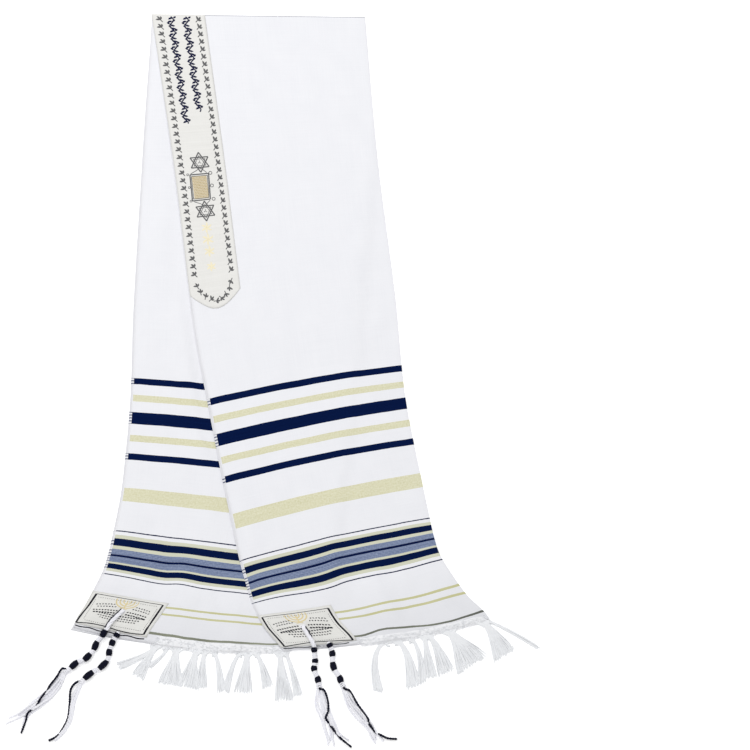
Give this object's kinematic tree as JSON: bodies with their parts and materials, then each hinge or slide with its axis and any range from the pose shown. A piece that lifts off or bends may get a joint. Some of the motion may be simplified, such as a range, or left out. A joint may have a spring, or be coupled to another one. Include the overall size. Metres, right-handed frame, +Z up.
{
  "type": "folded tallit prayer shawl",
  "caption": "Prayer shawl laid flat and folded, with woven end stripes, satin neckband, corner patches, knotted hem fringe and wound corner tassels.",
  "frame": {"origin": "middle of the footprint, on the surface the shawl lies on", "axes": "+Z up out of the surface; +Y from the fringed hems towards the crosswise fold; +X towards the over leg"},
  "size_m": [0.736, 1.0584, 0.0123],
  "materials": {
    "shawl_cloth": "plain woven, matt, with woven navy, gold and blue-grey stripes",
    "neckband": "cream satin with a woven border",
    "corner_patch": "pale satin with a woven border",
    "fringe": "loose white thread, knotted",
    "tassel": "white cord wound with navy thread"
  },
  "bodies": {
    "root": {"shawl_cloth": "shawl_cloth", "neckband": "neckband", "corner_patch_under": "corner_patch", "corner_patch_over": "corner_patch", "fringe_under": "fringe", "fringe_over": "fringe", "tassel_under_front": "tassel", "tassel_under_back": "tassel", "tassel_over_front": "tassel", "tassel_over_back": "tassel"}
  },
  "joints": []
}
